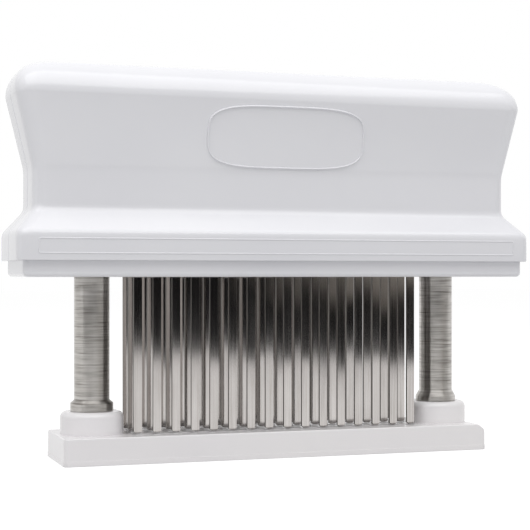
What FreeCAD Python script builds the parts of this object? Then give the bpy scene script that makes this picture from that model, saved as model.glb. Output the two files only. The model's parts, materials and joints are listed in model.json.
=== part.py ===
import FreeCAD, Part
import os
import re
import Sketcher

# Blade meat tenderizer: a hand press whose two-shell handle, knife block and 48 flat
# knives slide down two turned columns that stand on a slotted base plate.
# X runs along the handle, Y from front (-) to rear (+), Z up. The origin is the middle
# of the base's underside. All lengths are in millimetres.

SIZES = [
    # base plate, bevelled at its right end, with a round boss under each column
    ("base_rim", 1.4), ("base_depth", 25.4), ("base_height", 7.25),
    ("base_bevel_width", 2.3), ("base_bevel_height", 1.7),
    ("base_corner_round", 1.6), ("base_bottom_round", 0.8),
    ("boss_rim", 2.74), ("boss_height", 6.05), ("boss_round", 1.6),
    # columns
    ("column_margin", 6.335), ("column_radius", 4.74), ("column_wall", 1.14),
    ("flange_step", 1.02), ("flange_height", 3.1), ("flange_rim", 1.5),
    ("column_floor", 8.5), ("column_tail", 4.2), ("column_lead", 0.6),
    ("clip_groove_depth", 0.7), ("clip_thickness", 1.1), ("clip_reach", 1.56),
    # travel of the handle, and what is left between the block and the flanges
    ("stroke", 32.5), ("stop_gap", 0.3),
    # knives
    ("knife_count", 16), ("knife_pitch", 5.29), ("knife_row_pitch", 6.4),
    ("knife_width", 2.25), ("knife_thickness", 0.9), ("knife_tip_bevel", 0.45),
    ("knife_tip_gap", 0.25), ("knife_head_step", 0.925), ("knife_head_height", 2.4),
    ("slot_clearance", 0.25), ("slot_groove_depth", 0.45), ("slot_groove_margin", 0.5),
    # knife block under the handle
    ("block_height", 10.8), ("block_drop", 4.3), ("block_floor", 5.0),
    ("block_round", 2.0), ("block_bottom_round", 1.2), ("well_margin", 1.775),
    ("well_side", 2.65), ("clamp_thickness", 1.6), ("clamp_gap", 0.3),
    # guide bushings
    ("bushing_wall", 1.4), ("bushing_lip", 1.2), ("running_gap", 0.06),
    ("fit_gap", 0.1), ("block_hole_gap", 0.35),
    # handle shells
    ("handle_overhang", 12.35), ("skirt_depth", 31.8), ("skirt_height", 7.4),
    ("skirt_end_wall", 1.6), ("skirt_side_wall", 1.3), ("shelf_rise", 6.0),
    ("waist_inset", 5.0), ("clip_clearance", 1.1), ("waist_height", 11.0),
    ("grip_height", 28.1), ("end_slope", 0.24), ("face_slope", 0.171),
    ("top_round", 10.5), ("corner_round", 8.0),
    ("skirt_corner_round", 3.0), ("skirt_edge_round", 1.0), ("shell_wall", 2.6),
    ("ceiling_gap", 0.2),
    # raised outline on the front of the skirt
    ("panel_inset", 5.4), ("panel_height", 3.8), ("panel_rise", 1.9),
    ("panel_line", 0.35), ("panel_relief", 0.15),
    # springs and their caps
    ("spring_gap", 0.3), ("spring_wire", 0.9), ("cap_side_gap", 1.4),
    ("cap_height", 3.2), ("peg_gap", 0.2), ("peg_length", 12.0),
    # screws
    ("screw_radius", 1.4), ("screw_head_radius", 2.6), ("screw_head_height", 1.6),
    ("screw_drive_radius", 1.0), ("screw_drive_depth", 0.9), ("screw_gap", 0.1),
    ("column_screw_radius", 2.4), ("column_screw_head_radius", 4.3),
    ("column_screw_head_height", 2.8), ("column_screw_recess", 0.6),
    ("column_screw_bite", 8.7),
    ("shell_post_radius", 3.6), ("shell_screw_inner_x", 12.0), ("shell_screw_outer_x", 34.0),
    ("shell_screw_rise", 27.0), ("shell_screw_seat", 5.0), ("shell_screw_bite", 6.0),
    ("block_screw_inset", 10.0), ("block_screw_side", 5.3), ("block_screw_bite", 4.6),
    ("clamp_screw_steps", 4), ("clamp_screw_length", 7.2),
    ("clamp_screw_head_height", 1.3),
]

# Lengths that follow from the sizes above, so that what fits together stays together
DERIVED = {
    "knife_span": "knife_pitch * (knife_count - 1)",
    "knife_head_width": "knife_width + 2 * knife_head_step",
    "slot_groove_width": "knife_thickness + 2 * slot_groove_margin",
    "column_spacing": "knife_span + 2 * (column_radius + column_margin)",
    "column_bore_radius": "column_radius - column_wall",
    "flange_radius": "column_radius + flange_step",
    "boss_radius": "flange_radius + boss_rim",
    "clip_radius": "column_radius + clip_reach",
    "bushing_radius": "column_radius + running_gap + bushing_wall",
    "spring_radius": "column_bore_radius - spring_gap",
    "peg_radius": "spring_radius - spring_wire - peg_gap",
    "bushing_height": "block_height - bushing_lip - 2 * fit_gap",
    "base_length": "column_spacing + 2 * (boss_radius + base_rim)",
    "handle_length": "base_length + 2 * handle_overhang",
    "waist_length": "handle_length - 2 * waist_inset",
    "waist_depth": "2 * (clip_radius + clip_clearance + shell_wall)",
    "cap_radius": "clip_radius + clip_clearance - cap_side_gap",
    "block_length": "handle_length - 2 * (skirt_end_wall + fit_gap)",
    "block_depth": "skirt_depth - 2 * (skirt_side_wall + fit_gap)",
    "head_well_length": "knife_span + knife_head_width + 2 * well_margin",
    "head_well_depth": "2 * knife_row_pitch + knife_thickness + 2 * well_side",
    "clamp_length": "head_well_length - 2 * clamp_gap",
    "clamp_depth": "head_well_depth - 2 * clamp_gap",
    "panel_length": "handle_length - 2 * panel_inset",
    "block_screw_x": "handle_length / 2 - block_screw_inset",
    "block_screw_y": "block_depth / 2 - block_screw_side",
    "column_screw_length":
        "base_height + boss_height - column_screw_recess - column_screw_head_height + column_screw_bite",
}

doc = FreeCAD.newDocument("blade_tenderizer")
sheet = doc.addObject("Spreadsheet::Sheet", "Sizes")
for row, (alias, value) in enumerate(SIZES, start=1):
    sheet.set("A%d" % row, alias)
    sheet.set("B%d" % row, str(value))
    sheet.setAlias("B%d" % row, alias)
doc.recompute()
probe = doc.addObject("App::FeaturePython", "probe")
probe.addProperty("App::PropertyFloat", "Value")


def ex(text):
    """The expression with derived lengths written out and every size pointed at the sheet."""
    def spell(match):
        word = match.group(1)
        return "(%s)" % ex(DERIVED[word]) if word in DERIVED else "Sizes." + word
    return re.sub(r"(?<![.\w])([a-z]+(?:_[a-z]+)+|stroke)\b", spell, text)


# Heights and half sizes that several pieces share, worked out from the driving sizes
BOSS_TOP = "(base_height + boss_height)"
FLANGE_TOP = "(base_height + boss_height + flange_height)"
BLOCK_Z = "(base_height + boss_height + flange_height + stroke + stop_gap)"
BLOCK_TOP = "(%s + block_height)" % BLOCK_Z
FLOOR_TOP = "(%s + block_floor)" % BLOCK_Z
HEAD_TOP = "(%s + knife_head_height)" % FLOOR_TOP
SKIRT_Z = "(%s + block_drop)" % BLOCK_Z
SKIRT_TOP = "(%s + skirt_height)" % SKIRT_Z
SHELF_TOP = "(%s + shelf_rise)" % SKIRT_TOP
CREASE_Z = "(%s + waist_height)" % SHELF_TOP
HANDLE_TOP = "(%s + grip_height)" % CREASE_Z
TOP_HALF_X = "(waist_length / 2 + grip_height * end_slope)"
TOP_HALF_Y = "(waist_depth / 2 + grip_height * face_slope)"
CEILING_Z = "(%s + ceiling_gap)" % BLOCK_TOP
WELL_TOP = "(%s - shell_wall)" % HANDLE_TOP
WELL_HALF_Y = "(waist_depth / 2 - shell_wall)"
WELL_HALF_X = "(waist_length / 2 - shell_wall)"
BUSHING_TOP = "(%s - fit_gap)" % BLOCK_TOP
CLIP_Z = "(%s + fit_gap / 2)" % BUSHING_TOP
COLUMN_TOP = "(%s + column_tail)" % CLIP_Z
SHELL_SCREW_Z = "(%s + shell_screw_rise)" % SKIRT_TOP
FRONT = -1
REAR = 1


def bind(thing, **sizes):
    """Binds properties of an object to expressions over the sheet."""
    for name, text in sizes.items():
        thing.setExpression(name.replace("__", "."), ex(text))


def make_body(label):
    body = doc.addObject("PartDesign::Body", label)
    body.Label = label
    body.AllowCompound = True
    return body


def origin_part(body, role):
    return next(f for f in body.Origin.OriginFeatures if f.Role == role)


def make_sketch(body, name, role, offset=None):
    """A sketch on one of the body's own origin planes, raised along its normal."""
    sketch = body.newObject("Sketcher::SketchObject", name)
    sketch.AttachmentSupport = [(origin_part(body, role), "")]
    sketch.MapMode = "FlatFace"
    if offset:
        bind(sketch, AttachmentOffset__Base__z=offset)
    return sketch


def measure(text):
    """The present value of an expression over the sheet."""
    probe.setExpression("Value", ex(text))
    probe.recompute()
    return probe.Value


def pin_point(sketch, geometry, place, across, up):
    """Fixes one point of the sketch at two expressions."""
    for kind, text in (("DistanceX", across), ("DistanceY", up)):
        index = sketch.addConstraint(Sketcher.Constraint(kind, geometry, place, measure(text)))
        sketch.setExpression("Constraints[%d]" % index, ex(text))


def add_polygon(sketch, points, arc=None, arc_level=None, clockwise=False):
    """A closed outline whose corners are pairs of expressions; one side may be an arc,
    whose centre lies at the height arc_level."""
    first = sketch.GeometryCount
    count = len(points)
    upright = FreeCAD.Vector(0, 0, 1)
    corners = [FreeCAD.Vector(measure(across), measure(up), 0) for across, up in points]
    ends = []
    for step in range(count):
        start, stop = corners[step], corners[(step + 1) % count]
        if step == arc:
            low, high = (stop, start) if clockwise else (start, stop)
            level = measure(arc_level)
            bulge = (start.y - level) ** 2 - (stop.y - level) ** 2
            middle = (start.x ** 2 - stop.x ** 2 + bulge) / (2 * (start.x - stop.x))
            centre = FreeCAD.Vector(middle, level, 0)
            ring = Part.Circle(centre, upright, centre.distanceToPoint(start))
            sketch.addGeometry(Part.ArcOfCircle(ring, ring.parameter(low), ring.parameter(high)), False)
            ends.append((2, 1) if clockwise else (1, 2))
        else:
            sketch.addGeometry(Part.LineSegment(start, stop), False)
            ends.append((1, 2))
    for step in range(count):
        follower = (step + 1) % count
        sketch.addConstraint(Sketcher.Constraint(
            "Coincident", first + step, ends[step][1], first + follower, ends[follower][0]))
    for step, (across, up) in enumerate(points):
        pin_point(sketch, first + step, ends[step][0], across, up)
    if arc is not None:
        level = sketch.addConstraint(Sketcher.Constraint("DistanceY", first + arc, 3, measure(arc_level)))
        sketch.setExpression("Constraints[%d]" % level, ex(arc_level))


def add_rectangle(sketch, left, right, low, high):
    add_polygon(sketch, [(left, low), (right, low), (right, high), (left, high)])


def add_circle(sketch, across, up, radius):
    centre = FreeCAD.Vector(measure(across), measure(up), 0)
    circle = Part.Circle(centre, FreeCAD.Vector(0, 0, 1), measure(radius))
    index = sketch.addGeometry(circle, False)
    pin_point(sketch, index, 3, across, up)
    tie = sketch.addConstraint(Sketcher.Constraint("Radius", index, measure(radius)))
    sketch.setExpression("Constraints[%d]" % tie, ex(radius))


def make_pad(body, name, sketch, length, reverse=False, middle=False):
    pad = body.newObject("PartDesign::Pad", name)
    pad.Profile = sketch
    pad.Reversed = reverse
    pad.Midplane = middle
    bind(pad, Length=length)
    sketch.Visibility = False
    return pad


def make_pocket(body, name, sketch, length=None, reverse=False, middle=False):
    """A cut; without a length it goes through everything. It must remove material."""
    doc.recompute()
    before = body.Shape.Volume
    pocket = body.newObject("PartDesign::Pocket", name)
    pocket.Profile = sketch
    pocket.Reversed = reverse
    pocket.Midplane = middle
    if length:
        bind(pocket, Length=length)
    else:
        pocket.Type = "ThroughAll"
    doc.recompute()
    if not body.Shape.Volume < before:
        raise RuntimeError("the cut %s of %s removes nothing" % (name, body.Label))
    return pocket


def make_row(body, name, feature, count, length):
    """Repeats a feature along X, evenly spaced over a length."""
    row = body.newObject("PartDesign::LinearPattern", name)
    row.Originals = [feature]
    row.Direction = (origin_part(body, "X_Axis"), [""])
    bind(row, Length=length, Occurrences=count)
    body.Tip = row
    doc.recompute()
    return row


def make_fillet(body, name, radius, wanted):
    """Rounds the edges of the body's present shape for which wanted(edge) is true."""
    doc.recompute()
    base = body.Tip
    names = ["Edge%d" % (number + 1) for number, edge in enumerate(base.Shape.Edges) if wanted(edge)]
    if not names:
        raise RuntimeError("no edge found for %s of %s" % (name, body.Label))
    fillet = body.newObject("PartDesign::Fillet", name)
    fillet.Base = (base, names)
    bind(fillet, Radius=radius)
    doc.recompute()
    return fillet


def make_revolution(body, name, sketch):
    turned = body.newObject("PartDesign::Revolution", name)
    turned.Profile = sketch
    turned.ReferenceAxis = (sketch, ["V_Axis"])
    turned.Angle = 360
    sketch.Visibility = False
    return turned


def span(edge, axis):
    """Lowest and highest value of an edge's ends along X, Y or Z."""
    values = [getattr(vertex.Point, axis) for vertex in edge.Vertexes]
    return min(values), max(values)


def runs_along(edge, axis):
    """Whether an edge is straight and parallel to X, Y or Z."""
    if edge.Curve.TypeId != "Part::GeomLine":
        return False
    low, high = span(edge, axis)
    return abs(high - low - edge.Length) < 1e-6


def place_by(body, across="0", along="0", up="0"):
    bind(body, Placement__Base__x=across, Placement__Base__y=along, Placement__Base__z=up)


def make_base_plate():
    body = make_body("base_plate")
    outline = make_sketch(body, "base_outline", "XZ_Plane")
    half = "base_length / 2"
    add_polygon(outline, [
        ("-" + half, "0"), (half, "0"), (half, "base_height - base_bevel_height"),
        (half + " - base_bevel_width", "base_height"), ("-" + half, "base_height")])
    make_pad(body, "base_slab", outline, "base_depth", middle=True)
    make_fillet(body, "base_corners", "base_corner_round", lambda edge: runs_along(edge, "z"))
    make_fillet(body, "base_underside", "base_bottom_round", lambda edge: span(edge, "z")[1] < 1e-6)
    bosses = make_sketch(body, "boss_circles", "XY_Plane")
    for side in ("-", ""):
        add_circle(bosses, side + "column_spacing / 2", "0", "boss_radius")
    make_pad(body, "bosses", bosses, BOSS_TOP)
    doc.recompute()
    top = body.Shape.BoundBox.ZMax
    make_fillet(body, "boss_edges", "boss_round", lambda edge: span(edge, "z")[0] > top - 1e-6)

    # one groove along each row of knives, and the slots sunk through it
    grooves = make_sketch(body, "slot_grooves", "XY_Plane", "base_height")
    reach = "(knife_span / 2 + knife_width / 2 + slot_clearance)"
    slots = make_sketch(body, "slot_outlines", "XY_Plane", "base_height")
    left = "-(knife_span / 2 + knife_width / 2 + slot_clearance)"
    right = "-(knife_span / 2 - knife_width / 2 - slot_clearance)"
    for row in (-1, 0, 1):
        middle = "%d * knife_row_pitch" % row
        add_rectangle(grooves, "-" + reach, reach, middle + " - slot_groove_width / 2",
                      middle + " + slot_groove_width / 2")
        add_rectangle(slots, left, right, middle + " - knife_thickness / 2 - slot_clearance",
                      middle + " + knife_thickness / 2 + slot_clearance")
    make_pocket(body, "groove_cut", grooves, "slot_groove_depth")
    slot = make_pocket(body, "slot_cut", slots, "base_height * 2")
    make_row(body, "slot_row", slot, "knife_count", "knife_span")

    # each column's screw: a clearance hole and a recess for its head
    holes = make_sketch(body, "column_screw_holes", "XY_Plane")
    recesses = make_sketch(body, "column_screw_recesses", "XY_Plane")
    for side in ("-", ""):
        add_circle(holes, side + "column_spacing / 2", "0", "column_screw_radius + screw_gap")
        add_circle(recesses, side + "column_spacing / 2", "0", "column_screw_head_radius + screw_gap * 2")
    make_pocket(body, "column_screw_hole_cut", holes, BOSS_TOP + " * 2", reverse=True)
    make_pocket(body, "column_screw_recess_cut", recesses,
                "column_screw_recess + column_screw_head_height", reverse=True)
    return body


def make_column(label, side):
    body = make_body(label)
    profile = make_sketch(body, label + "_profile", "XZ_Plane")
    clip_low = "(%s - %s)" % (CLIP_Z, BOSS_TOP)
    clip_high = "(%s + clip_thickness + fit_gap)" % clip_low
    tall = "(%s - %s)" % (COLUMN_TOP, BOSS_TOP)
    neck = "column_radius - clip_groove_depth"
    thread = "column_screw_radius + screw_gap"
    add_polygon(profile, [
        (thread, "0"), ("flange_radius", "0"), ("flange_radius", "flange_rim"),
        ("column_radius", "flange_height"), ("column_radius", clip_low), (neck, clip_low),
        (neck, clip_high), ("column_radius", clip_high), ("column_radius", tall + " - column_lead"),
        ("column_radius - column_lead", tall), ("column_bore_radius", tall),
        ("column_bore_radius", "column_floor"), (thread, "column_floor")])
    make_revolution(body, label + "_turned", profile)
    place_by(body, across=side + "column_spacing / 2", up=BOSS_TOP)
    return body


def make_block_half(label, side):
    """Half of the knife block: floor with slots, bushing seats and a well for the heads."""
    body = make_body(label)
    toward = "" if side == REAR else "-"
    half = "block_length / 2"
    outline = make_sketch(body, label + "_outline", "XY_Plane", BLOCK_Z)
    low, high = ("-block_depth / 2", "0") if side == FRONT else ("0", "block_depth / 2")
    add_rectangle(outline, "-" + half, half, low, high)
    make_pad(body, label + "_slab", outline, "block_height")

    make_fillet(body, label + "_corners", "block_round",
                lambda e: runs_along(e, "z") and not is_seam(e))
    bottom = body.Shape.BoundBox.ZMin
    make_fillet(body, label + "_bottom", "block_bottom_round",
                lambda e: span(e, "z")[1] < bottom + 1e-6 and not is_seam(e))

    well = make_sketch(body, label + "_well", "XY_Plane", FLOOR_TOP)
    low, high = ("-head_well_depth / 2", "0") if side == FRONT else ("0", "head_well_depth / 2")
    add_rectangle(well, "-head_well_length / 2", "head_well_length / 2", low, high)
    make_pocket(body, label + "_well_cut", well, "block_height", reverse=True)

    slots = make_sketch(body, label + "_slots", "XY_Plane", FLOOR_TOP)
    left = "-(knife_span / 2 + knife_width / 2 + fit_gap)"
    right = "-(knife_span / 2 - knife_width / 2 - fit_gap)"
    thick = "(knife_thickness / 2 + fit_gap)"
    outer_row = toward + "knife_row_pitch"
    add_rectangle(slots, left, right, outer_row + " - " + thick, outer_row + " + " + thick)
    if side == FRONT:
        add_rectangle(slots, left, right, "-" + thick, "0")
    else:
        add_rectangle(slots, left, right, "0", thick)
    slot = make_pocket(body, label + "_slot_cut", slots, "block_floor * 2")
    make_row(body, label + "_slot_row", slot, "knife_count", "knife_span")

    seats = make_sketch(body, label + "_bushing_seats", "XY_Plane", BLOCK_TOP)
    holes = make_sketch(body, label + "_column_holes", "XY_Plane", BLOCK_TOP)
    for end in ("-", ""):
        add_circle(seats, end + "column_spacing / 2", "0", "bushing_radius + fit_gap")
        add_circle(holes, end + "column_spacing / 2", "0", "column_radius + block_hole_gap")
    make_pocket(body, label + "_seat_cut", seats, "bushing_height + fit_gap * 2")
    make_pocket(body, label + "_hole_cut", holes, "block_height * 2")

    screws = make_sketch(body, label + "_screw_holes", "XY_Plane", BLOCK_Z)
    heads = make_sketch(body, label + "_screw_recesses", "XY_Plane", BLOCK_Z)
    for end in ("-", ""):
        add_circle(screws, end + "block_screw_x", toward + "block_screw_y", "screw_radius + screw_gap")
        add_circle(heads, end + "block_screw_x", toward + "block_screw_y", "screw_head_radius + screw_gap")
    make_pocket(body, label + "_screw_cut", screws, "block_height * 2", reverse=True)
    make_pocket(body, label + "_head_cut", heads, "screw_head_height + screw_gap", reverse=True)

    pilots = make_sketch(body, label + "_clamp_pilots", "XY_Plane", FLOOR_TOP)
    for end in ("-", ""):
        add_circle(pilots, end + "clamp_screw_steps * knife_pitch", toward + "knife_row_pitch / 2",
                   "screw_radius + screw_gap")
    make_pocket(body, label + "_pilot_cut", pilots, "clamp_screw_length - clamp_thickness + fit_gap")
    return body


def is_seam(edge):
    """Whether an edge lies on the plane where the two halves meet."""
    low, high = span(edge, "y")
    return max(abs(low), abs(high)) < 1e-6


def make_knife_row(label, row):
    """Sixteen flat knives with T heads, their tips just above the base."""
    body = make_body(label)
    outline = make_sketch(body, label + "_outline", "XZ_Plane")
    centre = "(-knife_span / 2)"
    tip = "(base_height + knife_tip_gap)"
    half = "knife_width / 2"
    head = "knife_head_width / 2"
    add_polygon(outline, [
        (centre + " - " + half + " + knife_tip_bevel", tip),
        (centre + " + " + half + " - knife_tip_bevel", tip),
        (centre + " + " + half, tip + " + knife_tip_bevel"),
        (centre + " + " + half, FLOOR_TOP), (centre + " + " + head, FLOOR_TOP),
        (centre + " + " + head, HEAD_TOP), (centre + " - " + head, HEAD_TOP),
        (centre + " - " + head, FLOOR_TOP), (centre + " - " + half, FLOOR_TOP),
        (centre + " - " + half, tip + " + knife_tip_bevel")])
    knife = make_pad(body, label + "_knife", outline, "knife_thickness", middle=True)
    make_row(body, label + "_pattern", knife, "knife_count", "knife_span")
    place_by(body, along="%d * knife_row_pitch" % row)
    return body


def make_clamp_plate():
    body = make_body("blade_clamp_plate")
    outline = make_sketch(body, "clamp_outline", "XY_Plane", HEAD_TOP)
    add_rectangle(outline, "-clamp_length / 2", "clamp_length / 2", "-clamp_depth / 2", "clamp_depth / 2")
    for end in ("-", ""):
        for side in ("-", ""):
            add_circle(outline, end + "clamp_screw_steps * knife_pitch", side + "knife_row_pitch / 2",
                       "screw_radius + screw_gap")
    make_pad(body, "clamp_plate", outline, "clamp_thickness")
    return body


def make_shell(label, side):
    """Half of the handle: skirt, sloping shelf, waist and grip, hollow inside."""
    body = make_body(label)
    away = side == REAR
    toward = "" if away else "-"
    outline = make_sketch(body, label + "_outline", "XZ_Plane")
    add_polygon(outline, [
        ("-handle_length / 2", SKIRT_Z), ("handle_length / 2", SKIRT_Z),
        ("handle_length / 2", SKIRT_TOP), ("waist_length / 2", SHELF_TOP),
        ("waist_length / 2", CREASE_Z), (TOP_HALF_X, HANDLE_TOP),
        ("-" + TOP_HALF_X, HANDLE_TOP), ("-waist_length / 2", CREASE_Z),
        ("-waist_length / 2", SHELF_TOP), ("-handle_length / 2", SKIRT_TOP)])
    make_pad(body, label + "_slab", outline, "skirt_depth / 2", reverse=away)
    doc.recompute()
    top = body.Shape.BoundBox.ZMax
    make_fillet(body, label + "_top_corners", "corner_round",
                lambda e: runs_along(e, "y") and span(e, "z")[0] > top - 1e-6)
    make_fillet(body, label + "_skirt_corners", "skirt_corner_round",
                lambda e: runs_along(e, "z") and span(e, "z")[0] < top - 1e-6 and not is_seam(e)
                and span(e, "z")[1] < measure(SHELF_TOP))

    # what lies outside the section across the handle: skirt, shelf, waist, face and crown
    section = make_sketch(body, label + "_section", "YZ_Plane")
    bend = "top_round * (face_slope + sqrt(1 + face_slope ^ 2))"
    lean = "sqrt(1 + face_slope ^ 2)"
    clear = toward + "skirt_depth"
    above = HANDLE_TOP + " + grip_height"
    face_end = ("%s(%s - %s * face_slope / %s)" % (toward, TOP_HALF_Y, bend, lean),
                "%s - %s / %s" % (HANDLE_TOP, bend, lean))
    crown_start = "%s(%s - %s)" % (toward, TOP_HALF_Y, bend)
    add_polygon(section, [
        (toward + "skirt_depth / 2", SKIRT_TOP), (toward + "waist_depth / 2", SHELF_TOP),
        (toward + "waist_depth / 2", CREASE_Z), face_end, (crown_start, HANDLE_TOP),
        (crown_start, above), (clear, above), (clear, SKIRT_TOP)],
        arc=3, arc_level=HANDLE_TOP + " - top_round", clockwise=side == FRONT)
    make_pocket(body, label + "_section_cut", section, "handle_length * 2", middle=True)
    round_skirt_edge(body, label)

    # inside: the block's pocket below, a wide well above it and a deeper one in the grip
    pocket = make_sketch(body, label + "_block_pocket", "XY_Plane", SKIRT_Z)
    reach = "(block_length / 2 + fit_gap)"
    edges = ("-(block_depth / 2 + fit_gap)", "0") if side == FRONT else ("0", "block_depth / 2 + fit_gap")
    add_rectangle(pocket, "-" + reach, reach, *edges)
    make_pocket(body, label + "_block_pocket_cut", pocket, "%s - %s" % (CEILING_Z, SKIRT_Z), reverse=True)
    well = make_sketch(body, label + "_well", "XZ_Plane")
    inner_x = "(waist_length / 2 - shell_wall + (grip_height - corner_round - shell_wall) * end_slope)"
    below = CEILING_Z + " - ceiling_gap"
    add_polygon(well, [
        ("-" + WELL_HALF_X, below), (WELL_HALF_X, below),
        (WELL_HALF_X, CREASE_Z), (inner_x, WELL_TOP + " - corner_round"),
        (inner_x + " - corner_round", WELL_TOP), ("corner_round - " + inner_x, WELL_TOP),
        ("-" + inner_x, WELL_TOP + " - corner_round"), ("-" + WELL_HALF_X, CREASE_Z)])
    make_pocket(body, label + "_well_cut", well, WELL_HALF_Y, reverse=not away)

    # posts that the screws between the shells draw together, standing in the well
    posts = make_sketch(body, label + "_posts", "XZ_Plane")
    screws = make_sketch(body, label + "_screw_holes", "XZ_Plane")
    heads = make_sketch(body, label + "_screw_recesses", "XZ_Plane")
    for end in ("-", ""):
        for place in ("shell_screw_inner_x", "shell_screw_outer_x"):
            add_circle(posts, end + place, SHELL_SCREW_Z, "shell_post_radius")
            add_circle(screws, end + place, SHELL_SCREW_Z, "screw_radius + screw_gap")
            add_circle(heads, end + place, SHELL_SCREW_Z, "screw_head_radius + screw_gap")
    make_pad(body, label + "_posts_pad", posts, WELL_HALF_Y + " + fit_gap", reverse=away)
    if side == FRONT:
        make_pocket(body, label + "_pilot_cut", screws, "shell_screw_bite + fit_gap", reverse=True)
    else:
        make_pocket(body, label + "_screw_cut", screws, "skirt_depth")
        bind(heads, AttachmentOffset__Base__z="-shell_screw_seat")
        make_pocket(body, label + "_recess_cut", heads, "skirt_depth")
    ceiling = make_sketch(body, label + "_block_pilots", "XY_Plane", CEILING_Z)
    for end in ("-", ""):
        add_circle(ceiling, end + "block_screw_x", toward + "block_screw_y", "screw_radius + screw_gap")
    make_pocket(body, label + "_block_pilot_cut", ceiling, "block_screw_bite", reverse=True)

    if side == FRONT:
        add_front_outline(body, label)
    return body


def round_skirt_edge(body, label):
    """Rounds the skirt's upper edge."""
    skirt_top = measure(SKIRT_TOP)
    make_fillet(body, label + "_skirt_edge", "skirt_edge_round",
                lambda e: abs(span(e, "z")[0] - skirt_top) < 1e-3
                and span(e, "z")[1] - skirt_top < 1e-3)


def add_front_outline(body, label):
    """A thin raised rectangle on the front of the skirt."""
    frame = make_sketch(body, label + "_panel", "XZ_Plane", "skirt_depth / 2 - fit_gap")
    half = "panel_length / 2"
    low = "(%s + panel_rise)" % SKIRT_Z
    high = "(%s + panel_height)" % low
    add_rectangle(frame, "-" + half, half, low, high)
    add_rectangle(frame, "panel_line - " + half, half + " - panel_line",
                  low + " + panel_line", high + " - panel_line")
    make_pad(body, label + "_panel_line", frame, "panel_relief + fit_gap")


def make_ring(label, outer, inner, height, across, level):
    """A plain ring about an upright axis."""
    body = make_body(label)
    sketch = make_sketch(body, label + "_ring", "XY_Plane")
    add_circle(sketch, "0", "0", outer)
    add_circle(sketch, "0", "0", inner)
    make_pad(body, label + "_pad", sketch, height)
    place_by(body, across=across, up=level)
    return body


def make_spring_cap(label, side):
    """The seat of the spring's upper end, with a peg that keeps the spring upright."""
    body = make_body(label)
    profile = make_sketch(body, label + "_profile", "XZ_Plane")
    add_polygon(profile, [
        ("0", "-peg_length"), ("peg_radius", "-peg_length"), ("peg_radius", "0"),
        ("cap_radius", "0"), ("cap_radius", "cap_height"), ("0", "cap_height")])
    make_revolution(body, label + "_turned", profile)
    place_by(body, across=side + "column_spacing / 2", up=WELL_TOP + " - cap_height")
    return body


def make_screw(name, radius, head_radius, head_height, length):
    """A pan-head screw along +Z with its head below: shank, head and a round drive recess."""
    shank = doc.addObject("Part::Cylinder", name + "_shank")
    bind(shank, Radius=radius, Height=length)
    head = doc.addObject("Part::Cylinder", name + "_head")
    bind(head, Radius=head_radius, Height=head_height, Placement__Base__z="-(%s)" % head_height)
    drive = doc.addObject("Part::Prism", name + "_drive")
    drive.Polygon = 6
    bind(drive, Circumradius="screw_drive_radius", Height="screw_drive_depth",
         Placement__Base__z="-(%s)" % head_height)
    whole = doc.addObject("Part::Fuse", name + "_whole")
    whole.Base, whole.Tool = head, shank
    screw = doc.addObject("Part::Cut", name)
    screw.Base, screw.Tool = whole, drive
    return screw


def make_group(label, makers):
    """Several like fasteners that share one node."""
    group = doc.addObject("Part::Compound", label)
    group.Label = label
    group.Links = makers
    return group


def make_clips():
    """Spring clips in the columns' grooves, which stop the handle from lifting off."""
    clips = []
    for side, word in (("-", "left"), ("", "right")):
        disc = doc.addObject("Part::Cylinder", "clip_disc_" + word)
        bind(disc, Radius="clip_radius", Height="clip_thickness")
        hole = doc.addObject("Part::Cylinder", "clip_hole_" + word)
        bind(hole, Radius="column_radius - clip_groove_depth + fit_gap / 2", Height="clip_thickness")
        mouth = doc.addObject("Part::Box", "clip_mouth_" + word)
        bind(mouth, Length="clip_radius", Width="clip_radius", Height="clip_thickness",
             Placement__Base__x="-clip_radius / 2")
        ring = doc.addObject("Part::Cut", "clip_ring_" + word)
        ring.Base, ring.Tool = disc, hole
        clip = doc.addObject("Part::Cut", "clip_" + word)
        clip.Base, clip.Tool = ring, mouth
        bind(clip, Placement__Base__x=side + "column_spacing / 2",
             Placement__Base__z=CLIP_Z + " + fit_gap / 2")
        clips.append(clip)
    return make_group("column_clips", clips)


def make_column_screws():
    screws = []
    for side, word in (("-", "left"), ("", "right")):
        screw = make_screw("column_screw_" + word, "column_screw_radius", "column_screw_head_radius",
                           "column_screw_head_height", "column_screw_length")
        bind(screw, Placement__Base__x=side + "column_spacing / 2",
             Placement__Base__z="column_screw_recess + column_screw_head_height")
        screws.append(screw)
    return make_group("column_screws", screws)


def make_block_screws():
    screws = []
    for end in ("-", ""):
        for side in ("-", ""):
            name = "block_screw_%d" % (len(screws) + 1)
            screw = make_screw(name, "screw_radius", "screw_head_radius", "screw_head_height",
                               "%s - %s - screw_head_height + block_screw_bite - fit_gap"
                               % (CEILING_Z, BLOCK_Z))
            bind(screw, Placement__Base__x=end + "block_screw_x",
                 Placement__Base__y=side + "block_screw_y",
                 Placement__Base__z=BLOCK_Z + " + screw_head_height + screw_gap")
            screws.append(screw)
    return make_group("block_screws", screws)


def make_clamp_screws():
    """Screws that press the clamp plate onto the knife heads, heads up."""
    screws = []
    for end in ("-", ""):
        for side in ("-", ""):
            name = "clamp_screw_%d" % (len(screws) + 1)
            screw = make_screw(name, "screw_radius", "screw_head_radius", "clamp_screw_head_height",
                               "clamp_screw_length")
            screw.Placement.Rotation = FreeCAD.Rotation(FreeCAD.Vector(1, 0, 0), 180)
            bind(screw, Placement__Base__x=end + "clamp_screw_steps * knife_pitch",
                 Placement__Base__y=side + "knife_row_pitch / 2",
                 Placement__Base__z=HEAD_TOP + " + clamp_thickness")
            screws.append(screw)
    return make_group("clamp_screws", screws)


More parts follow.
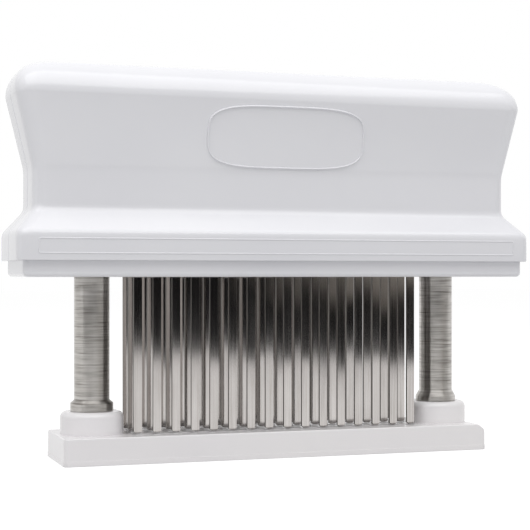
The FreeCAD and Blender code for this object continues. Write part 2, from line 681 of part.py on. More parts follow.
def make_shell_screws():
    """Screws that enter from the rear and draw the two shells together."""
    screws = []
    for end in ("-", ""):
        for place in ("shell_screw_inner_x", "shell_screw_outer_x"):
            name = "shell_screw_%d" % (len(screws) + 1)
            screw = make_screw(name, "screw_radius", "screw_head_radius", "screw_head_height",
                               "shell_screw_seat + shell_screw_bite")
            screw.Placement.Rotation = FreeCAD.Rotation(FreeCAD.Vector(1, 0, 0), 90)
            bind(screw, Placement__Base__x=end + place, Placement__Base__y="shell_screw_seat",
                 Placement__Base__z=SHELL_SCREW_Z)
            screws.append(screw)
    return make_group("shell_screws", screws)


def make_all():
    nodes = [
        make_base_plate(),
        make_column("column_left", "-"),
        make_column("column_right", ""),
        make_column_screws(),
        make_clips(),
        make_shell("handle_shell_front", FRONT),
        make_shell("handle_shell_rear", REAR),
        make_block_half("blade_block_front", FRONT),
        make_block_half("blade_block_rear", REAR),
        make_knife_row("knife_row_front", -1),
        make_knife_row("knife_row_middle", 0),
        make_knife_row("knife_row_rear", 1),
        make_clamp_plate(),
        make_clamp_screws(),
        make_block_screws(),
        make_shell_screws(),
    ]
    for side, word in (("-", "left"), ("", "right")):
        across = side + "column_spacing / 2"
        nodes.append(make_ring("bushing_" + word, "bushing_radius", "column_radius + running_gap",
                               "bushing_height", across, BUSHING_TOP + " - bushing_height"))
        nodes.append(make_spring_cap("spring_cap_" + word, side))
        nodes.append(make_ring("spring_" + word, "spring_radius", "spring_radius - spring_wire",
                               "%s - cap_height - fit_gap - %s - column_floor - fit_gap"
                               % (WELL_TOP, BOSS_TOP), across, BOSS_TOP + " + column_floor + fit_gap"))
    return nodes


def check(nodes):
    """Stops before anything is written if a feature failed or a piece isn't sound."""
    doc.recompute()
    for thing in doc.Objects:
        if "Invalid" in thing.State or "Error" in thing.State:
            raise RuntimeError("%s did not build" % thing.Name)
    for node in nodes:
        if node.Shape.isNull() or not node.Shape.isValid():
            raise RuntimeError("%s is not a sound shape" % node.Label)


nodes = make_all()
check(nodes)
os.makedirs("parts", exist_ok=True)
for node in nodes:
    node.Shape.exportStep("parts/%s.step" % node.Label)
    print(node.Label, len(node.Shape.Solids), round(node.Shape.Volume, 1))
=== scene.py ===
import bpy
import bmesh
import json
import math
import random
from mathutils import Matrix, Vector


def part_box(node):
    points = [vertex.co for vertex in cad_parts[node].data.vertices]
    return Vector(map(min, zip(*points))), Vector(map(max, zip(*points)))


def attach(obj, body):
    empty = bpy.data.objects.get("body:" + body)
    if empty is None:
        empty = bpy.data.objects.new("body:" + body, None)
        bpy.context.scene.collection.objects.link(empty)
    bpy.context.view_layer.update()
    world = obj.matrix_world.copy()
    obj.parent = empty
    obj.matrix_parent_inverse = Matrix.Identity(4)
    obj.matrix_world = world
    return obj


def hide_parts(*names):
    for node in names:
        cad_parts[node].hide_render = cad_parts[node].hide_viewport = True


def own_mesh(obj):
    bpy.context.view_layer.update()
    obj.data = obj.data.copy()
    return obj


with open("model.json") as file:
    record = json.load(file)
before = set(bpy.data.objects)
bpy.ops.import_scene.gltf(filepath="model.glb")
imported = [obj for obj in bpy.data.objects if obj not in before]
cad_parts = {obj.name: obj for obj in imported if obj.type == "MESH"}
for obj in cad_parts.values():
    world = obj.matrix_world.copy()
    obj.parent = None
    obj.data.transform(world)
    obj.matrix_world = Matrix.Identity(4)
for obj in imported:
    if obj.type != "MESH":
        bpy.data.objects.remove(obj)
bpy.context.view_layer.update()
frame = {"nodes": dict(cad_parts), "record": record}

MM = 0.001
IMAGE = 530
TAU = 2 * math.pi
nodes = frame["nodes"]

# The handle's outline in mm: heights of its zones from the skirt up, half widths and slopes
SKIRT_HEIGHT = 7.4
SHELF_RISE = 6.0
WAIST_HEIGHT = 11.0
GRIP_HEIGHT = 28.1
WAIST_HALF_X = 68.0
WAIST_HALF_Y = 10.0
END_SLOPE = 0.24
FACE_SLOPE = 0.171
CROWN_HEIGHT = 9.0
CROWN_FLAT_HALF_Y = 2.36
CORNER_RADIUS = 8.0
LOW_EDGE_RADIUS = 3.0
EDGE_RADIUS_GAIN = 3.2
FOOT_BEVEL = 0.45
SHELL_WALL = 2.6
SEAM_BEVEL = 0.3
SKIRT_OVERHANG = 1.4
POCKET_GAP = 0.1
CEILING_GAP = 0.2

# How far each bend of the outline is softened: foot, shelf edge, shelf root, crease, crown
BEND_CUTS = [0.4, 1.3, 1.6, 1.5, 0.28]
CROWN_STEPS = 24

KNIFE_PITCH = 5.29 * MM
KNIFE_ROW_PITCH = 6.4 * MM

shell_low, shell_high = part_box("handle_shell_front")
block_low, block_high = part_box("blade_block_front")
SKIRT_Z = shell_low[2] / MM
SKIRT_HALF_X = shell_high[0] / MM
SKIRT_HALF_Y = -block_low[1] / MM + SKIRT_OVERHANG
HANDLE_TOP = shell_high[2] / MM
SKIRT_TOP = SKIRT_Z + SKIRT_HEIGHT
SHELF_TOP = SKIRT_TOP + SHELF_RISE
CREASE_Z = SHELF_TOP + WAIST_HEIGHT
POCKET_HALF_X = block_high[0] / MM + POCKET_GAP
POCKET_HALF_Y = -block_low[1] / MM + POCKET_GAP
CEILING_Z = block_high[2] / MM + CEILING_GAP
WELL_HALF_X = WAIST_HALF_X - SHELL_WALL
WELL_HALF_Y = WAIST_HALF_Y - SHELL_WALL


# Node materials

class Nodes:
    """A small helper that adds nodes to a material and joins them."""

    def __init__(self, name):
        self.material = bpy.data.materials.new(name)
        self.material.use_nodes = True
        self.tree = self.material.node_tree
        self.shader = self.tree.nodes["Principled BSDF"]
        self.coords = self.tree.nodes.new("ShaderNodeTexCoord").outputs["Object"]

    def add(self, kind, inputs=None, **settings):
        node = self.tree.nodes.new(kind)
        for key, value in settings.items():
            setattr(node, key, value)
        for key, value in (inputs or {}).items():
            if isinstance(value, bpy.types.NodeSocket):
                self.tree.links.new(value, node.inputs[key])
            else:
                node.inputs[key].default_value = value
        return node

    def scaled(self, x, y, z):
        """Object coordinates stretched along each axis."""
        return self.add("ShaderNodeMapping", {"Vector": self.coords, "Scale": (x, y, z)}).outputs[0]

    def noise(self, vector, scale, detail=3.0, roughness=0.5):
        node = self.add("ShaderNodeTexNoise",
                        {"Vector": vector, "Scale": scale, "Detail": detail, "Roughness": roughness})
        return node.outputs["Fac"]

    def ramp(self, factor, stops):
        node = self.add("ShaderNodeValToRGB", {"Fac": factor})
        elements = node.color_ramp.elements
        while len(elements) < len(stops):
            elements.new(0.5)
        for element, (place, colour) in zip(elements, stops):
            element.position = place
            element.color = (*colour, 1.0)
        return node.outputs["Color"]

    def mix(self, factor, first, second):
        """A colour that goes from one to the other; each is a socket or three numbers."""
        node = self.add("ShaderNodeMix", {"Factor": factor}, data_type="RGBA")
        for place, colour in ((6, first), (7, second)):
            if isinstance(colour, bpy.types.NodeSocket):
                self.tree.links.new(colour, node.inputs[place])
            else:
                node.inputs[place].default_value = (*colour, 1.0)
        return node.outputs[2]

    def spread(self, factor, low, high):
        """A factor of 0 to 1 spread between two values."""
        node = self.add("ShaderNodeMapRange", {"Value": factor, "To Min": low, "To Max": high})
        return node.outputs["Result"]

    def bump(self, height, strength, distance, normal=None):
        inputs = {"Height": height, "Strength": strength, "Distance": distance}
        if normal is not None:
            inputs["Normal"] = normal
        return self.add("ShaderNodeBump", inputs).outputs["Normal"]

    def drive(self, **sockets):
        for key, value in sockets.items():
            self.tree.links.new(value, self.shader.inputs[key.replace("_", " ")])

    def fix(self, **sockets):
        for key, value in sockets.items():
            self.shader.inputs[key.replace("_", " ")].default_value = value


def white_plastic(name, colour, warm, roughness):
    """Glossy moulded plastic: faint clouding, moulding ripple and handling marks."""
    n = Nodes(name)
    cloud = n.noise(n.coords, 26.0, 4.0)
    n.drive(Base_Color=n.ramp(cloud, [(0.3, colour), (0.7, warm)]))
    scuff = n.noise(n.scaled(1, 1, 2.5), 90.0, 2.0, 0.5)
    n.drive(Roughness=n.spread(scuff, roughness * 0.85, roughness * 1.15))
    ripple = n.noise(n.scaled(0.35, 1, 1), 60.0, 2.0)
    n.drive(Normal=n.bump(ripple, 0.2, 0.00010))
    n.fix(IOR=1.49, Specular_IOR_Level=0.5)
    return n.material


def strip_steel(name):
    """Rolled strip: grain, faint blotches, duller shear-cut sides darkened with painted shade between the
    knives, and a bow in each knife.
    """
    n = Nodes(name)
    streak = n.noise(n.scaled(2600, 2600, 40), 1.0, 4.0, 0.6)
    blotch = n.noise(n.scaled(160, 160, 60), 1.0, 3.0)
    tone = n.add("ShaderNodeMix", {"Factor": 0.4, "A": streak, "B": blotch}, data_type="FLOAT")
    faces = n.ramp(tone.outputs["Result"], [
        (0.25, (0.34, 0.315, 0.30)), (0.5, (0.48, 0.455, 0.44)), (0.75, (0.59, 0.565, 0.55))])
    # The sides facing the neighbouring knives get a darker colour: partly their duller shear-cut finish,
    # partly painted shade between the knives.
    sheared_and_shaded = n.ramp(streak, [(0.3, (0.17, 0.155, 0.14)), (0.7, (0.30, 0.28, 0.26))])
    facing = n.add("ShaderNodeNewGeometry").outputs["Normal"]
    sideways = n.add("ShaderNodeSeparateXYZ", {"Vector": facing})
    turned = n.add("ShaderNodeMath", {0: sideways.outputs["X"]}, operation="ABSOLUTE")
    edge = n.add("ShaderNodeMapRange", {"Value": turned.outputs[0], "From Min": 0.3, "From Max": 0.8})
    # Painted shade: the sideways-facing sides take the darker colour.
    n.drive(Base_Color=n.mix(edge.outputs["Result"], faces, sheared_and_shaded))
    polish = n.spread(streak, 0.05, 0.13)
    dull = n.add("ShaderNodeMix", {"Factor": edge.outputs["Result"], "A": polish, "B": 0.5},
                 data_type="FLOAT")
    n.drive(Roughness=dull.outputs["Result"])
    axes = n.add("ShaderNodeSeparateXYZ", {"Vector": n.coords})
    places = []
    for axis, pitch in (("X", KNIFE_PITCH), ("Y", KNIFE_ROW_PITCH)):
        share = n.add("ShaderNodeMath", {0: axes.outputs[axis], 1: 1 / pitch}, operation="MULTIPLY")
        whole = n.add("ShaderNodeMath", {0: share.outputs[0]}, operation="FLOOR")
        apart = n.add("ShaderNodeMath", {0: whole.outputs[0], 1: 3.7}, operation="MULTIPLY")
        places.append(apart.outputs[0])
    lift = n.add("ShaderNodeMath", {0: axes.outputs["Z"], 1: 34.0}, operation="MULTIPLY")
    spot = n.add("ShaderNodeCombineXYZ", {"X": places[0], "Y": places[1], "Z": lift.outputs[0]})
    bow = n.noise(spot.outputs[0], 1.0, 0.0)
    bowed = n.bump(bow, 1.0, 0.0004)
    n.drive(Normal=n.bump(streak, 0.2, 0.00002, n.bump(blotch, 0.2, 0.00003, bowed)))
    n.fix(Metallic=1.0)
    return n.material


def turned_steel(name):
    """Turned rod: fine rings round the axis, with a slow waviness under them."""
    n = Nodes(name)
    rings = n.noise(n.scaled(45, 45, 3000), 1.0, 3.0, 0.85)
    wave = n.noise(n.scaled(160, 160, 1200), 1.0, 3.0)
    tone = n.add("ShaderNodeMix", {"Factor": 0.3, "A": rings, "B": wave}, data_type="FLOAT")
    n.drive(Base_Color=n.ramp(tone.outputs["Result"], [
        (0.34, (0.20, 0.185, 0.17)), (0.5, (0.48, 0.46, 0.435)), (0.66, (0.64, 0.62, 0.60))]))
    n.drive(Roughness=n.spread(rings, 0.26, 0.40))
    n.drive(Normal=n.bump(rings, 0.8, 0.00005, n.bump(wave, 0.3, 0.00004)))
    around = n.add("ShaderNodeTangent", direction_type="RADIAL", axis="Z")
    n.drive(Tangent=around.outputs[0])
    n.fix(Metallic=1.0, Anisotropic=1.0, Anisotropic_Rotation=0.25)
    return n.material


def plain_steel(name, colour, roughness):
    n = Nodes(name)
    grain = n.noise(n.coords, 1500.0, 4.0, 0.6)
    dark = tuple(0.8 * c for c in colour)
    n.drive(Base_Color=n.ramp(grain, [(0.3, dark), (0.7, colour)]))
    n.drive(Roughness=n.spread(grain, roughness * 0.8, roughness * 1.3))
    n.drive(Normal=n.bump(grain, 0.15, 0.00004))
    n.fix(Metallic=1.0)
    return n.material


def acetal(name):
    n = Nodes(name)
    grain = n.noise(n.coords, 900.0, 4.0)
    n.drive(Base_Color=n.ramp(grain, [(0.3, (0.70, 0.70, 0.67)), (0.7, (0.80, 0.80, 0.77))]))
    n.drive(Roughness=n.spread(grain, 0.35, 0.5))
    n.drive(Normal=n.bump(grain, 0.12, 0.00005))
    return n.material


MATERIALS = {
    "white_shell": white_plastic("shell_plastic", (0.80, 0.80, 0.835), (0.83, 0.83, 0.86), 0.16),
    "white_base": white_plastic("base_plastic", (0.87, 0.85, 0.865), (0.89, 0.87, 0.875), 0.20),
    "knife_steel": strip_steel("strip_steel"),
    "turned_steel": turned_steel("turned_steel"),
    "fastener_steel": plain_steel("fastener_steel", (0.60, 0.595, 0.585), 0.28),
    "spring_steel": plain_steel("spring_steel", (0.46, 0.45, 0.44), 0.32),
    "acetal": acetal("acetal"),
}


# The CAD nodes that stay get the finish of their slot

for entry in frame["record"]["subparts"]:
    node = nodes[entry["node"]]
    node.data.materials.clear()
    node.data.materials.append(MATERIALS[entry["material_slot"]])


# Handle shells: a stack of rounded half sections from the skirt up to the crown

def soften(path, cuts, steps=6):
    """Rounds the inner corners of a path; cuts gives how far back each corner starts."""
    points = [Vector(path[0])]
    for before, here, after, cut in zip(path, path[1:], path[2:], cuts):
        here = Vector(here)
        start = here + (Vector(before) - here).normalized() * cut
        stop = here + (Vector(after) - here).normalized() * cut
        for step in range(steps + 1):
            share = step / steps
            points.append(start.lerp(here, share).lerp(here.lerp(stop, share), share))
    points.append(Vector(path[-1]))
    return points


def crown_sizes(angle):
    """Half length, half depth and height where the crown's arc has turned by an angle."""
    height = HANDLE_TOP - CROWN_HEIGHT + CROWN_HEIGHT * math.sin(angle)
    start_half_y = WAIST_HALF_Y + (GRIP_HEIGHT - CROWN_HEIGHT) * FACE_SLOPE
    half_y = CROWN_FLAT_HALF_Y + (start_half_y - CROWN_FLAT_HALF_Y) * math.cos(angle)
    tilt = math.atan(END_SLOPE)
    top_half_x = WAIST_HALF_X + GRIP_HEIGHT * END_SLOPE
    middle_x = top_half_x - CORNER_RADIUS * (END_SLOPE + math.sqrt(1 + END_SLOPE ** 2))
    above = height - (HANDLE_TOP - CORNER_RADIUS)
    if above > -CORNER_RADIUS * math.sin(tilt):
        half_x = middle_x + math.sqrt(max(CORNER_RADIUS ** 2 - above ** 2, 0.0))
    else:
        half_x = WAIST_HALF_X + (height - CREASE_Z) * END_SLOPE
    return half_x, half_y, height


def outer_rows():
    """Half length, half depth, height and corner radius of each section, bottom to top."""
    turns = [math.pi / 2 * step / CROWN_STEPS for step in range(CROWN_STEPS + 1)]
    path = [
        (SKIRT_HALF_X - FOOT_BEVEL, SKIRT_HALF_Y - FOOT_BEVEL, SKIRT_Z),
        (SKIRT_HALF_X, SKIRT_HALF_Y, SKIRT_Z),
        (SKIRT_HALF_X, SKIRT_HALF_Y, SKIRT_TOP),
        (WAIST_HALF_X, WAIST_HALF_Y, SHELF_TOP),
        (WAIST_HALF_X, WAIST_HALF_Y, CREASE_Z),
        crown_sizes(turns[0]),
        crown_sizes(turns[1]),
    ]
    rows = [(*p, corner_radius(p.z)) for p in soften(path, BEND_CUTS)]
    for turn in turns[2:]:
        half_x, half_y, height = crown_sizes(turn)
        rows.append((half_x, half_y, height, corner_radius(height)))
    return rows


def corner_radius(height):
    """The rounding of the upright edges: tight at the skirt, larger up the grip."""
    if height <= CREASE_Z:
        return LOW_EDGE_RADIUS
    share = (height - CREASE_Z) / (HANDLE_TOP - CREASE_Z)
    return LOW_EDGE_RADIUS + EDGE_RADIUS_GAIN * share


def half_section(half_x, half_y, height, radius, side, bevel):
    """Points of half a rounded rectangle, from the seam at +X round to the seam at -X."""
    radius = min(radius, half_y * 0.96)
    flat = half_y - radius
    seam = min(bevel, flat * 0.5 + 1e-4)
    points = [(half_x - bevel, 0.0), (half_x, seam), (half_x, flat * 0.5 + seam * 0.5)]
    arc = 12
    for step in range(arc + 1):
        turn = math.pi / 2 * step / arc
        points.append((half_x - radius + radius * math.cos(turn), flat + radius * math.sin(turn)))
    long_steps = 36
    reach = half_x - radius
    for step in range(1, long_steps):
        points.append((reach - 2 * reach * step / long_steps, half_y))
    mirrored = [(-x, y) for x, y in reversed(points[:3 + arc + 1])]
    return [Vector((x, side * y, height)) * MM for x, y in points + mirrored]


def inner_section(row, side):
    """The section of the hollow that lies behind an outer row."""
    half_x, _, height, _ = row
    if height <= CEILING_Z:
        return half_section(POCKET_HALF_X, POCKET_HALF_Y, height, 0.4, side, 0.0)
    top = HANDLE_TOP - SHELL_WALL
    level = CEILING_Z + (top - CEILING_Z) * (height - CEILING_Z) / (HANDLE_TOP - CEILING_Z)
    inner_x = min(max(half_x - SHELL_WALL, WELL_HALF_X - 4.0), WELL_HALF_X + 3.0)
    if height < CREASE_Z:
        inner_x = WELL_HALF_X
    return half_section(inner_x, WELL_HALF_Y, level, 2.0, side, 0.0)


def grid_faces(rows, columns, first, flip):
    faces = []
    for row in range(rows - 1):
        for column in range(columns - 1):
            a = first + row * columns + column
            quad = (a, a + 1, a + columns + 1, a + columns)
            faces.append(quad[::-1] if flip else quad)
    return faces


def build_shell(name, side):
    """A closed half shell: outer skin, hollow inside, and the rim that joins them."""
    rows = outer_rows()
    outer = [half_section(*row, side, SEAM_BEVEL) for row in rows]
    inner = [inner_section(row, side) for row in rows]
    top = outer[-1]
    near_seam = [Vector((p.x, side * SEAM_BEVEL * MM, p.z)) for p in top]
    on_seam = [Vector((p.x, 0.0, p.z - SEAM_BEVEL * MM)) for p in top]
    outer += [near_seam, on_seam]
    lid = inner[-1]
    inner.append([Vector((p.x, p.y * 0.5, p.z)) for p in lid])
    inner.append([Vector((p.x, 0.0, p.z)) for p in lid])
    rows_count, columns = len(outer), len(outer[0])
    points = [p for row in outer for p in row] + [p for row in inner for p in row]
    shift = rows_count * columns
    flip = side > 0
    faces = grid_faces(rows_count, columns, 0, not flip)
    faces += grid_faces(rows_count, columns, shift, flip)
    rim = list(range(columns))
    rim += [row * columns + columns - 1 for row in range(1, rows_count)]
    rim += [(rows_count - 1) * columns + column for column in range(columns - 2, -1, -1)]
    rim += [row * columns for row in range(rows_count - 2, 0, -1)]
    for here, there in zip(rim, rim[1:] + rim[:1]):
        faces.append((here, there, there + shift, here + shift))
    mesh = bpy.data.meshes.new(name)
    mesh.from_pydata([tuple(p) for p in points], [], faces)
    tidy_mesh(mesh)
    return add_piece(name, mesh, "handle", "white_shell")


def tidy_mesh(mesh):
    """Merges doubled points, drops empty faces and points every face outwards."""
    work = bmesh.new()
    work.from_mesh(mesh)
    bmesh.ops.remove_doubles(work, verts=work.verts, dist=1e-7)
    bmesh.ops.dissolve_degenerate(work, edges=work.edges, dist=1e-7)
    bmesh.ops.recalc_face_normals(work, faces=work.faces)
    work.to_mesh(mesh)
    work.free()
    mesh.update()


def shade(piece, angle=32):
    """Smooth shading that keeps edges sharper than an angle."""
    mesh = piece.data
    mesh.polygons.foreach_set("use_smooth", [True] * len(mesh.polygons))
    work = bmesh.new()
    work.from_mesh(mesh)
    limit = math.radians(angle)
    for edge in work.edges:
        if len(edge.link_faces) == 2:
            edge.smooth = edge.calc_face_angle(0.0) < limit
    work.to_mesh(mesh)
    work.free()


def add_piece(name, mesh, body, slot):
    piece = bpy.data.objects.new(name, mesh)
    bpy.context.scene.collection.objects.link(piece)
    mesh.materials.clear()
    mesh.materials.append(MATERIALS[slot])
    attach(piece, body)
    return piece


def lathe(name, profile, centre, axis, body, slot, segments=48, closed=False):
    """A turned piece: profile points are (radius, distance along the axis), closed for a tube."""
    work = bmesh.new()
    axis = Vector(axis)
    helper = Vector((0, 0, 1)) if abs(axis.z) < 0.5 else Vector((1, 0, 0))
    across = axis.cross(helper).normalized()
    other = axis.cross(across)
    rings = []
    for radius, along in profile:
        if radius < 1e-9:
            rings.append([work.verts.new(Vector(centre) + axis * along)])
            continue
        ring = []
        for step in range(segments):
            turn = TAU * step / segments
            offset = (across * math.cos(turn) + other * math.sin(turn)) * radius
            ring.append(work.verts.new(Vector(centre) + offset + axis * along))
        rings.append(ring)
    for low, high in zip(rings, rings[1:] + rings[:1] if closed else rings[1:]):
        for step in range(segments):
            after = (step + 1) % segments
            if len(low) == 1:
                work.faces.new((low[0], high[after], high[step]))
            elif len(high) == 1:
                work.faces.new((low[step], low[after], high[0]))
            else:
                work.faces.new((low[step], low[after], high[after], high[step]))
    mesh = bpy.data.meshes.new(name)
    bmesh.ops.recalc_face_normals(work, faces=work.faces)
    work.to_mesh(mesh)
    work.free()
    if body is None:
        piece = bpy.data.objects.new(name, mesh)
        bpy.context.scene.collection.objects.link(piece)
        return piece
    return add_piece(name, mesh, body, slot)


def apply_boolean(piece, tool, operation):
    """Joins or cuts a helper solid, which is then removed."""
    change = piece.modifiers.new("cut", "BOOLEAN")
    change.operation = operation
    change.object = tool
    change.solver = "EXACT"
    bpy.context.view_layer.update()
    graph = bpy.context.evaluated_depsgraph_get()
    result = bpy.data.meshes.new_from_object(piece.evaluated_get(graph))
    piece.modifiers.remove(change)
    old = piece.data
    piece.data = result
    bpy.data.meshes.remove(old)
    bpy.data.objects.remove(tool)


front_shell = build_shell("front_shell_skin", -1)
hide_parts("handle_shell_front")
shade(front_shell)

rear_shell = build_shell("rear_shell_skin", 1)
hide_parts("handle_shell_rear")

screw_low, screw_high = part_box("shell_screws")
SCREW_HEAD_RADIUS = (screw_high[2] - screw_low[2]) / 2
SCREW_Z = (screw_high[2] + screw_low[2]) / 2
SCREW_OUTER_X = screw_high[0] - SCREW_HEAD_RADIUS
SCREW_INNER_X = 12.0 * MM
SCREW_SEAT_Y = 5.0 * MM
POST_START, POST_END, POST_RADIUS = 0.0002, 0.0090, 0.0036
MOUTH_RADIUS = SCREW_HEAD_RADIUS + 0.0001
PAST_REAR = 0.03
for x in (-SCREW_OUTER_X, -SCREW_INNER_X, SCREW_INNER_X, SCREW_OUTER_X):
    post = lathe("post", [(0, POST_START), (POST_RADIUS, POST_START), (POST_RADIUS, POST_END),
                          (0, POST_END)], (x, 0, SCREW_Z), (0, 1, 0), None, None)
    apply_boolean(rear_shell, post, "UNION")
    recess = lathe("recess", [(0, SCREW_SEAT_Y), (MOUTH_RADIUS, SCREW_SEAT_Y),
                              (MOUTH_RADIUS, PAST_REAR), (0, PAST_REAR)],
                   (x, 0, SCREW_Z), (0, 1, 0), None, None)
    apply_boolean(rear_shell, recess, "DIFFERENCE")
shade(rear_shell)


# Base plate, columns and knives, with their edges broken as on the real pieces

BASE_HEIGHT = 7.25
BASE_BEVEL_WIDTH, BASE_BEVEL_HEIGHT = 2.3, 1.7
BASE_CORNER, BASE_TOP_ROUND, BASE_LOW_Z = 1.1, 0.35, 0.6
FOOT_INSET, FOOT_HEIGHT, FOOT_CORNER, FOOT_ROUND = 0.12, 1.3, 1.2, 0.2
SCREW_SINK_RADIUS, SCREW_SINK_TOP, SCREW_BORE = 4.5, 3.4, 2.5
BOSS_RADIUS, BOSS_ROUND = 8.5, 1.6
SLOT_HALF_X, SLOT_HALF_Y = 1.375, 0.7
GROOVE_HALF_Y, GROOVE_DEPTH = 0.95, 0.45
KNIFE_COUNT = 16
KNIFE_XS = [(step - (KNIFE_COUNT - 1) / 2) * KNIFE_PITCH / MM for step in range(KNIFE_COUNT)]
ROW_YS = {"front": -KNIFE_ROW_PITCH / MM, "middle": 0.0, "rear": KNIFE_ROW_PITCH / MM}
column_low, column_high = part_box("column_right")
COLUMN_X = (column_low[0] + column_high[0]) / 2 / MM
BOSS_TOP = column_low[2] / MM


def prism(outline, low_y, high_y):
    """A solid whose outline, pairs of X and Z in mm, runs from one Y to another."""
    work = bmesh.new()
    near = [work.verts.new(Vector((x, low_y, z)) * MM) for x, z in outline]
    far = [work.verts.new(Vector((x, high_y, z)) * MM) for x, z in outline]
    work.faces.new(near)
    work.faces.new(far[::-1])
    count = len(outline)
    for step in range(count):
        after = (step + 1) % count
        work.faces.new((near[after], near[step], far[step], far[after]))
    bmesh.ops.recalc_face_normals(work, faces=work.faces)
    return work


def round_edges(work, wanted, width, segments):
    edges = [e for e in work.edges if wanted(e.verts[0].co / MM, e.verts[1].co / MM)]
    bmesh.ops.bevel(work, geom=edges, offset=width * MM, offset_type="OFFSET", segments=segments,
                    profile=0.5, affect="EDGES", clamp_overlap=True)


def box_tool(name, boxes):
    """One mesh of several apart boxes: each two opposite corners in mm."""
    work = bmesh.new()
    for low, high in boxes:
        low, high = Vector(low) * MM, Vector(high) * MM
        middle = Matrix.Translation((low + high) / 2)
        size = Matrix.Diagonal((*(high - low), 1.0))
        bmesh.ops.create_cube(work, size=1.0, matrix=middle @ size)
    return free_piece(name, work)


def free_piece(name, work):
    mesh = bpy.data.meshes.new(name)
    work.to_mesh(mesh)
    work.free()
    piece = bpy.data.objects.new(name, mesh)
    bpy.context.scene.collection.objects.link(piece)
    return piece


def even_normals(piece):
    """Keeps wide flat faces flat where they meet narrow rounded edges."""
    even = piece.modifiers.new("even_normals", "WEIGHTED_NORMAL")
    even.keep_sharp = True
    even.weight = 100


def build_base():
    """The plate on its slightly wider foot, with bosses, grooves, slots and screw holes."""
    base_low, base_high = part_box("base_plate")
    half, side = base_high[0] / MM, base_high[1] / MM
    inner, inner_side = half - FOOT_INSET, side - FOOT_INSET
    work = prism([(-inner, BASE_LOW_Z), (inner, BASE_LOW_Z), (inner, BASE_HEIGHT - BASE_BEVEL_HEIGHT),
                  (inner - BASE_BEVEL_WIDTH, BASE_HEIGHT), (-inner, BASE_HEIGHT)],
                 -inner_side, inner_side)
    round_edges(work, lambda a, b: abs(a.z - b.z) > 3, BASE_CORNER, 6)
    top = BASE_HEIGHT - BASE_BEVEL_HEIGHT - 1e-3
    round_edges(work, lambda a, b: a.z > top and b.z > top, BASE_TOP_ROUND, 3)
    base = free_piece("base_skin", work)
    foot = prism([(-half, 0), (half, 0), (half, FOOT_HEIGHT), (-half, FOOT_HEIGHT)], -side, side)
    round_edges(foot, lambda a, b: abs(a.z - b.z) > 1, FOOT_CORNER, 6)
    round_edges(foot, lambda a, b: a.z < 1e-4 and b.z < 1e-4, FOOT_ROUND, 2)
    apply_boolean(base, free_piece("foot", foot), "UNION")
    for x in (-COLUMN_X, COLUMN_X):
        turns = [math.pi / 2 * step / 6 for step in range(7)]
        edge = [(BOSS_RADIUS - BOSS_ROUND + BOSS_ROUND * math.cos(t),
                 BOSS_TOP - BOSS_ROUND + BOSS_ROUND * math.sin(t)) for t in turns]
        profile = [(0, 1.0), (BOSS_RADIUS, 1.0), *edge, (0, BOSS_TOP)]
        boss = lathe("boss", [(r * MM, z * MM) for r, z in profile], (x * MM, 0, 0), (0, 0, 1),
                     None, None, 64)
        apply_boolean(base, boss, "UNION")
    reach = KNIFE_XS[-1] + SLOT_HALF_X
    grooves = [((-reach, y - GROOVE_HALF_Y, BASE_HEIGHT - GROOVE_DEPTH),
                (reach, y + GROOVE_HALF_Y, BASE_HEIGHT + 1)) for y in ROW_YS.values()]
    apply_boolean(base, box_tool("grooves", grooves), "DIFFERENCE")
    slots = [((x - SLOT_HALF_X, y - SLOT_HALF_Y, -1),
              (x + SLOT_HALF_X, y + SLOT_HALF_Y, BASE_HEIGHT + 1))
             for x in KNIFE_XS for y in ROW_YS.values()]
    apply_boolean(base, box_tool("slots", slots), "DIFFERENCE")
    for x in (-COLUMN_X, COLUMN_X):
        profile = [(0, -1), (SCREW_SINK_RADIUS, -1), (SCREW_SINK_RADIUS, SCREW_SINK_TOP),
                   (SCREW_BORE, SCREW_SINK_TOP), (SCREW_BORE, BOSS_TOP + 1), (0, BOSS_TOP + 1)]
        hole = lathe("hole", [(r * MM, z * MM) for r, z in profile], (x * MM, 0, 0), (0, 0, 1),
                     None, None)
        apply_boolean(base, hole, "DIFFERENCE")
    base.data.materials.clear()
    base.data.materials.append(MATERIALS["white_base"])
    shade(base, 40)
    even_normals(base)
    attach(base, "base")
    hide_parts("base_plate")


COLUMN_RADIUS, COLUMN_BORE, FLANGE_RADIUS = 4.74, 3.6, 5.76
FLANGE_RIMS = {"left": 2.2, "right": 1.36}
CONE_TOP = 2.96
CLIP_GROOVE_RADIUS, CLIP_GROOVE_LOW, CLIP_GROOVE_HIGH = 4.04, 5.3, 4.1
COLUMN_FLOOR, COLUMN_LEAD = 8.5, 0.6


def build_column(word, side):
    """A turned tube with a flange at its foot, a clip groove near its top and a closed end."""
    low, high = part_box("column_" + word)
    top = (high[2] - low[2]) / MM
    rim = FLANGE_RIMS[word]
    profile = [(SCREW_BORE, 0), (FLANGE_RADIUS - 0.14, 0), (FLANGE_RADIUS, 0.14),
               (FLANGE_RADIUS, rim - 0.1), (FLANGE_RADIUS - 0.08, rim + 0.1),
               (COLUMN_RADIUS + 0.12, CONE_TOP), (COLUMN_RADIUS, CONE_TOP + 0.2),
               (COLUMN_RADIUS, top - CLIP_GROOVE_LOW), (CLIP_GROOVE_RADIUS, top - CLIP_GROOVE_LOW),
               (CLIP_GROOVE_RADIUS, top - CLIP_GROOVE_HIGH), (COLUMN_RADIUS, top - CLIP_GROOVE_HIGH),
               (COLUMN_RADIUS, top - COLUMN_LEAD), (COLUMN_RADIUS - COLUMN_LEAD, top),
               (COLUMN_BORE, top), (COLUMN_BORE, COLUMN_FLOOR), (SCREW_BORE, COLUMN_FLOOR)]
    column = lathe("column_%s_skin" % word, [(r * MM, z * MM) for r, z in profile],
                   (side * COLUMN_X * MM, 0, low[2]), (0, 0, 1), "base", "turned_steel", 96, True)
    shade(column, 35)
    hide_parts("column_" + word)


